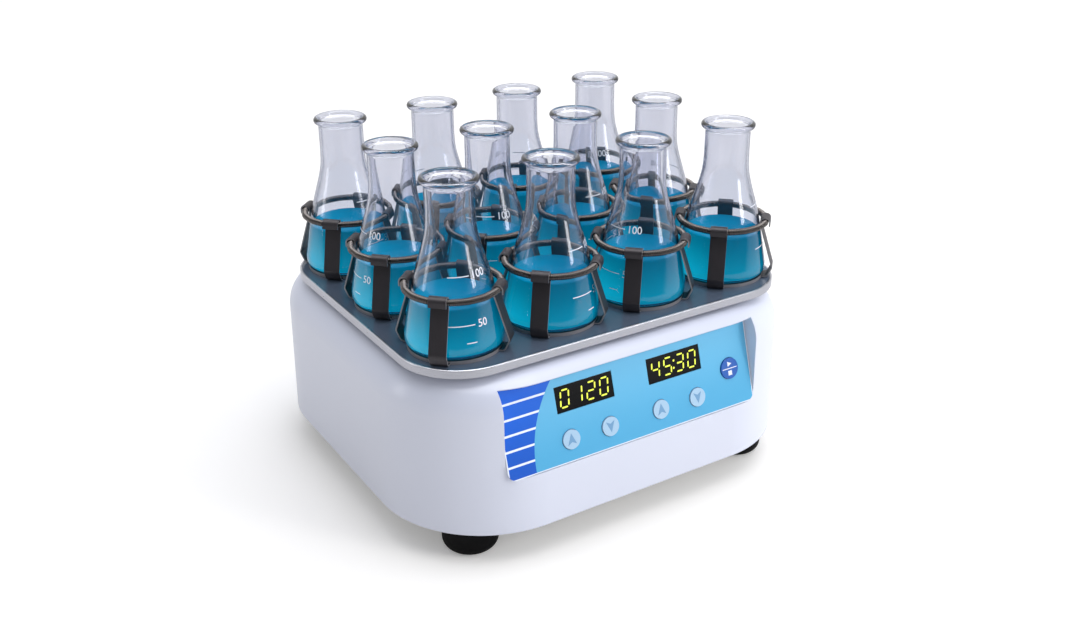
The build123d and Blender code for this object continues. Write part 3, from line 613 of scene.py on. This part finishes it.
def buildDigits(text, middle):
    def build(work):
        count = len(text.replace(":", ""))
        slot = 0
        for sign in text:
            centre = middle + (slot - (count - 1) / 2) * digits["pitch"]
            for outline in signOutlines(sign, centre):
                flatShape(work, outline, digitPlace, digits["thickness"])
            if sign != ":":
                slot += 1
    return build


glow = Finish("digitGlow", {"Roughness": 0.4, "Emission Strength": 1.1, "Base Color": (0.30, 0.38, 0.03, 1)})
glow.feed("Emission Color", glow.mix(glow.noise(400.0), scaled(digits["colour"], 0.9), digits["colour"]))
for name, text in (("speed", digits["speed"]), ("time", digits["time"])):
    mesh = meshFrom(f"{name}Digits", buildDigits(text, digits["places"][name]))
    newObject(f"{name}Digits", mesh, "base", glow.material)
print("digits shown")

# Marks on the keys: a notched arrow on each pale key, a bar with a triangle and a square on the blue one
keyMarks = {
    "level": 0.0158,
    "startLevel": 0.0290,
    "startOffset": 0.0863,
    "proud": 0.0010,
    "arrow": 0.0044,
    "thickness": 0.00006,
    "offsets": {"speed_up": -0.0544, "speed_down": -0.0222, "time_up": 0.0215, "time_down": 0.0543},
}
arrowInk = plasticFinish("arrowInk", (0.17, 0.36, 0.58), 0.4, 0.0)
whiteInk = plasticFinish("whiteInk", (0.88, 0.90, 0.95), 0.45, 0.0)


def keyPlace(u, v, lift):
    return onPanel(u, v, panel["face"] + keyMarks["proud"] + lift)


def buildArrow(middle, way):
    size = keyMarks["arrow"]
    outline = [(0, size), (0.80 * size, -0.85 * size), (0, -0.42 * size), (-0.80 * size, -0.85 * size)]

    def build(work):
        shape = [(middle + x, keyMarks["level"] + y * way) for x, y in outline]
        flatShape(work, shape, keyPlace, keyMarks["thickness"])
    return build


for name, offset in keyMarks["offsets"].items():
    mesh = meshFrom(f"arrow_{name}", buildArrow(offset, 1 if name.endswith("up") else -1))
    newObject(f"arrow_{name}", mesh, f"key_{name}_body", arrowInk.material)


def buildStartMark(work):
    u, v = keyMarks["startOffset"], keyMarks["startLevel"]
    for outline in (
        [(-0.0066, -0.0003), (0.0066, -0.0003), (0.0066, 0.0003), (-0.0066, 0.0003)],
        [(-0.0016, 0.0015), (0.0022, 0.0034), (-0.0016, 0.0053)],
        [(-0.0017, -0.0051), (0.0017, -0.0051), (0.0017, -0.0017), (-0.0017, -0.0017)],
    ):
        flatShape(work, [(u + x, v + y) for x, y in outline], keyPlace, keyMarks["thickness"])


mesh = meshFrom("startMark", buildStartMark)
newObject("startMark", mesh, "key_start_stop_body", whiteInk.material)
print("key marks printed")

# Flasks: one smooth blown wall each, turned from its profile, in place of the plain solids
flaskShape = {
    "wall": 0.0016,
    "segments": 72,
    "rimMiddle": (0.01745, 0.11205),
    "rimRadius": 0.00205,
    "side": [(33.35, 8.2), (31.2, 20.0), (28.9, 32.0), (26.35, 44.5), (22.6, 57.5),     # millimetres
             (19.2, 69.0), (17.2, 78.0), (16.45, 87.0), (16.3, 98.0), (16.3, 108.6)],
}


def flaskOutside():
    turns = [radians(90 - 15 * i) for i in range(6)]
    heel = [(33.5 - 5.0 + 5.0 * cos(a), 5.2 - 5.2 * sin(a)) for a in turns]
    foot = [(0.0, 1.1), (14.0, 1.0), (24.0, 0.45)]
    return [(r / 1000, z / 1000) for r, z in foot + heel + throughPoints(flaskShape["side"], 5)]


def flaskInside():
    wall = flaskShape["wall"] * 1000
    side = [(r - wall, z) for r, z in throughPoints(flaskShape["side"], 5)]
    # One point more, exactly at the liquid's level, where wet glass begins
    brim = blueLiquid["level"] * 1000
    below = max((p for p in side if p[1] < brim), key=lambda p: p[1])
    above = min((p for p in side if p[1] > brim), key=lambda p: p[1])
    part = (brim - below[1]) / (above[1] - below[1])
    side.insert(side.index(above), (below[0] + (above[0] - below[0]) * part, brim))
    turns = [radians(90 - 18 * i) for i in range(5)]
    heel = [(33.4 - wall - 4.2 + 4.2 * cos(a), 7.0 - 4.4 * sin(a)) for a in turns]
    foot = [(0.0, 2.9), (14.0, 2.8), (23.0, 2.6)]
    return [(r / 1000, z / 1000) for r, z in foot + heel + [p for p in side if p[1] > 7.5]]


def flaskRim():
    # The rolled bead, from the neck's outside over the top to its inside
    middle, height = flaskShape["rimMiddle"]
    size = flaskShape["rimRadius"]
    turns = [radians(-70 + 20 * i) for i in range(13)]
    return [(middle + size * cos(a), height + size * 1.05 * sin(a)) for a in turns]


blueLiquid = {
    # The liquid's own blue is darker at the top and paler at the foot, the paler foot being painted light;
    # the glow colours are painted light too, emission in place of light coming in through the glass
    "colour": (0.002, 0.26, 0.47),
    "pale": (0.006, 0.46, 0.66),
    "glowTop": (0.0, 0.10, 0.17),
    "glowFoot": (0.0, 0.18, 0.26),
    "glowSide": (0.004, 0.36, 0.47),        # light gathered low down, opposite the lamps
    "sideWay": (-0.846, 0.533),
    "depth": 0.04,
    "level": 0.0335,
    "overlap": 0.00012,
    "climb": 0.0008,                        # how far it draws up the wall
    "sideSpread": (-0.008, 0.034),
    "bend": 1.06,                           # its outline bends light little, as it touches the glass
}
flaskGlass = {
    "colour": (0.935, 0.94, 0.975),
    # The next colour is painted shade for the outlines, where the wall is seen edge-on
    "edge": (0.16, 0.19, 0.26),
    "paintedOutlineSpread": (0.48, 0.84),
    "bend": 1.47,
    "wetBend": 1.105,                       # from glass to liquid, where the wall is wet
    "shade": (0.45, 0.48, 0.62),
    "density": 90.0,
    "waveScale": 22.0,
    "waveDepth": 0.00025,
    "waveStrength": 0.35,
}
flaskProfile = flaskOutside() + flaskRim() + list(reversed(flaskInside()))
drySteps = len(flaskOutside()) + len(flaskRim())


def glassFinish(name, bend):
    made = Finish(name, {"Roughness": 0.0, "IOR": bend, "Transmission Weight": 1.0})
    # Painted shade: where the wall is seen edge-on its base colour is painted dark, standing in for the long
    # path through the wall, so outlines are dark
    facing = made.node("ShaderNodeLayerWeight", {}, {"Blend": 0.5}, "Facing")
    outline = made.smooth(facing, *flaskGlass["paintedOutlineSpread"])
    made.feed("Base Color", made.mix(outline, flaskGlass["colour"], flaskGlass["edge"]))
    made.thicken(flaskGlass["shade"], flaskGlass["density"])
    wave = made.noise(flaskGlass["waveScale"], 1.0)
    made.relief(wave, flaskGlass["waveDepth"], flaskGlass["waveStrength"])
    return made


glass = glassFinish("flaskGlass", flaskGlass["bend"])
wetGlass = glassFinish("wetGlass", flaskGlass["wetBend"])


def liquidFinish():
    made = Finish("blueLiquid", {"Roughness": 0.0, "IOR": blueLiquid["bend"], "Transmission Weight": 0.5,
                                 "Emission Strength": 1.0})
    x, y, z = made.axes()
    dx, dy = made.fromAxis(x, y)
    height = made.smooth(z, array["trayTop"], array["trayTop"] + blueLiquid["depth"])
    sideways = dx * blueLiquid["sideWay"][0] + dy * blueLiquid["sideWay"][1]
    aside = made.smooth(sideways, *blueLiquid["sideSpread"])
    # Painted light: the base colour is paler towards the foot, and an emitted glow is strongest low down on
    # the side away from the lamps
    made.feed("Base Color", made.mix(height, blueLiquid["pale"], blueLiquid["colour"]))
    glowing = made.mix(height, blueLiquid["glowFoot"], blueLiquid["glowTop"])
    made.feed("Emission Color", made.mix(aside * (1 - height * 0.75), glowing, blueLiquid["glowSide"]))
    return made


liquid = liquidFinish()


def liquidProfile():
    level = blueLiquid["level"]
    over = blueLiquid["overlap"]
    top = level + blueLiquid["climb"]
    wet = [(r + over * (r > 0), z - over) for r, z in flaskInside() if z < top]
    brim = wet[-1][0]
    return wet + [(brim - 0.0008, level + 0.0003), (brim - 0.0022, level), (brim * 0.5, level), (0.0, level)]


def turnedPiece(name, profile, centre):
    base = array["trayTop"] + array["flaskLift"]
    segments = flaskShape["segments"]
    return meshFrom(name, lambda work: lathe(work, profile, centre, base, segments), radians(60))


def wetInside(mesh):
    # The inner wall up to the liquid takes the second material; faces come in the profile's order
    wetLevel = blueLiquid["level"] + 1e-6
    for face in mesh.polygons:
        step = face.index // flaskShape["segments"]
        face.material_index = int(step >= drySteps and flaskProfile[step][1] <= wetLevel)


def buildFlasks():
    for rowName in rowNames:
        for i, centre in enumerate(flaskPlaces(rowName), 1):
            mesh = turnedPiece(f"flask_{rowName}_{i}_blown", flaskProfile, centre)
            blown = newObject(f"flask_{rowName}_{i}_blown", mesh, "platform", glass.material)
            mesh.materials.append(wetGlass.material)
            wetInside(mesh)
            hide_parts(f"flask_{rowName}_{i}")
            mesh = turnedPiece(f"liquid_{rowName}_{i}", liquidProfile(), centre)
            newObject(f"liquid_{rowName}_{i}", mesh, "platform", liquid.material)


buildFlasks()
print("flasks blown and filled")

# Graduations: printed lines and plain numbers that follow the cone, turned differently on each flask
graduation = {
    "lines": ((0.0120, 12.0), (0.0235, 34.0), (0.0390, 12.0), (0.0545, 34.0)),
    "numbers": ((0.0235, "50"), (0.0545, "100")),
    "lineWidth": 0.0006,
    "textHeight": 0.0050,
    "figureShare": 0.7,                     # a figure's height as a share of the font's size
    "textWeight": 0.00003,
    "textGap": 4,                           # degrees from the line's end to the number
    "lift": 0.00006,
    "turns": {"front": (268, 300, 205, 318), "middle": (190, 250, 290, 20), "back": (300, 120, 70, 230)},
}


def flaskRadius(height):
    line = flaskOutside()
    for (r0, z0), (r1, z1) in zip(line, line[1:]):
        if z0 <= height <= z1 and z1 > z0:
            return r0 + (r1 - r0) * (height - z0) / (z1 - z0)
    return line[-1][0]


def numberOutline(text):
    words = bpy.data.curves.new("number", "FONT")
    words.body = text
    words.size = graduation["textHeight"] / graduation["figureShare"]
    words.offset = graduation["textWeight"]
    words.align_y = "CENTER"
    sign = bpy.data.objects.new("number", words)
    scene.collection.objects.link(sign)
    flat = bpy.data.meshes.new_from_object(sign.evaluated_get(bpy.context.evaluated_depsgraph_get()))
    bpy.data.objects.remove(sign)
    return flat


def buildMarks(centre, turn, base):
    def onGlass(angle, height):
        reach = flaskRadius(height) + graduation["lift"]
        return Vector((centre[0] + reach * cos(angle), centre[1] + reach * sin(angle), base + height))

    def build(work):
        for height, spread in graduation["lines"]:
            half = graduation["lineWidth"] / 2
            steps = int(spread / 2)
            edge = [radians(turn - spread + spread * k / steps) for k in range(steps + 1)]
            low = [work.verts.new(onGlass(a, height - half)) for a in edge]
            high = [work.verts.new(onGlass(a, height + half)) for a in edge]
            for k in range(steps):
                work.faces.new((low[k], low[k + 1], high[k + 1], high[k]))
        begin = radians(turn + graduation["textGap"])
        for height, text in graduation["numbers"]:
            flat = numberOutline(text)
            start = work.verts[:]
            work.from_mesh(flat)
            reach = flaskRadius(height)
            for vert in work.verts:
                if vert in start:
                    continue
                vert.co = onGlass(begin + vert.co.x / reach, height + vert.co.y)
    return build


def buildAllMarks():
    base = array["trayTop"] + array["flaskLift"]
    for rowName in rowNames:
        for i, centre in enumerate(flaskPlaces(rowName), 1):
            turn = graduation["turns"][rowName][i - 1]
            mesh = meshFrom(f"marks_{rowName}_{i}", buildMarks(centre, turn, base))
            newObject(f"marks_{rowName}_{i}", mesh, "platform", whiteInk.material)


buildAllMarks()
print("graduations printed")

# Clamp springs: close-wound coils bent into rings, grown by geometry nodes, four to a row
coil = {
    "ringRadius": 0.0316,
    "level": 0.0435,
    "coilRadius": 0.0019,
    "wireRadius": 0.0006,
    "turns": 170,
    "steps": 10,
    "sag": 0.000247,                        # waves that bring the ring to the outline of its solid
    "waves": 16,
}
coilSteel = metalFinish("coilSteel", (0.125, 0.115, 0.112), 0.10, 0.0, None, 300.0, 0.000002)


def geometryTree(name, inputs):
    tree = bpy.data.node_groups.new(name, "GeometryNodeTree")
    for title, kind, value in inputs:
        made = tree.interface.new_socket(name=title, in_out="INPUT", socket_type=kind)
        made.default_value = value
    tree.interface.new_socket(name="Geometry", in_out="OUTPUT", socket_type="NodeSocketGeometry")
    graph = Graph(tree)
    source = tree.nodes.new("NodeGroupInput")
    graph.given = {out.name: Value(graph, out) for out in source.outputs if out.name}
    return graph


def finishTree(graph, geometry, material):
    solid = graph.node("GeometryNodeRealizeInstances", {}, {"Geometry": geometry})
    painted = graph.node("GeometryNodeSetMaterial", {}, {"Geometry": solid, "Material": material})
    out = graph.tree.nodes.new("NodeGroupOutput")
    graph.tree.links.new(painted.socket, out.inputs[0])


def grow(name, graph, values):
    made = bpy.data.objects.new(name, bpy.data.meshes.new(name))
    scene.collection.objects.link(made)
    modifier = made.modifiers.new("grow", "NODES")
    modifier.node_group = graph.tree
    for item in graph.tree.interface.items_tree:
        if item.item_type == "SOCKET" and item.in_out == "INPUT" and item.name in values:
            modifier[item.identifier] = values[item.name]
    made.update_tag()
    ready = made.evaluated_get(bpy.context.evaluated_depsgraph_get())
    plain = bpy.data.meshes.new_from_object(ready)
    made.modifiers.clear()
    made.data = plain
    return made


def coilTree():
    graph = geometryTree("coilRings", [
        ("Ring Radius", "NodeSocketFloat", coil["ringRadius"]),
        ("Coil Radius", "NodeSocketFloat", coil["coilRadius"]),
        ("Wire Radius", "NodeSocketFloat", coil["wireRadius"]),
        ("Turns", "NodeSocketInt", coil["turns"]),
        ("Steps", "NodeSocketInt", coil["steps"]),
        ("Sag", "NodeSocketFloat", coil["sag"]),
        ("Pitch", "NodeSocketFloat", array["columnPitch"]),
        ("Count", "NodeSocketInt", array["columns"]),
        ("Start", "NodeSocketVector", (0, 0, 0)),
    ])
    given = graph.given
    total = given["Turns"] * given["Steps"]
    line = graph.node("GeometryNodeMeshCircle", {}, {"Vertices": total, "Radius": 1.0})
    index = graph.node("GeometryNodeInputIndex")
    around = index * (2 * pi) / total
    wound = index * (2 * pi) / given["Steps"]
    flat = (1 - graph.calc("COSINE", around * coil["waves"])) * given["Sag"] / 2
    reach = given["Ring Radius"] + flat + given["Coil Radius"] * graph.calc("COSINE", wound)
    place = graph.node("ShaderNodeCombineXYZ", {}, {
        "X": reach * graph.calc("COSINE", around), "Y": reach * graph.calc("SINE", around),
        "Z": given["Coil Radius"] * graph.calc("SINE", wound)})
    helix = graph.node("GeometryNodeSetPosition", {}, {"Geometry": line, "Position": place})
    wire = graph.node("GeometryNodeMeshToCurve", {}, {"Mesh": helix})
    section = graph.node("GeometryNodeCurvePrimitiveCircle", {}, {
        "Resolution": 6, "Radius": given["Wire Radius"]})
    tube = graph.node("GeometryNodeCurveToMesh", {}, {"Curve": wire, "Profile Curve": section})
    soft = graph.node("GeometryNodeSetShadeSmooth", {}, {"Geometry": tube})
    step = graph.node("ShaderNodeCombineXYZ", {}, {"X": given["Pitch"], "Y": 0.0, "Z": 0.0})
    places = graph.node("GeometryNodeMeshLine", {"mode": "OFFSET"}, {
        "Count": given["Count"], "Start Location": given["Start"], "Offset": step})
    rings = graph.node("GeometryNodeInstanceOnPoints", {}, {"Points": places, "Instance": soft})
    finishTree(graph, rings, coilSteel.material)
    return graph


coilGraph = coilTree()
for rowName in rowNames:
    x, y = flaskPlaces(rowName)[0]
    ring = grow(f"coils_{rowName}", coilGraph, {"Start": (x, y, array["trayTop"] + coil["level"])})
    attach(ring, "platform")
    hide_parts(f"rings_{rowName}")
print("coil rings wound")
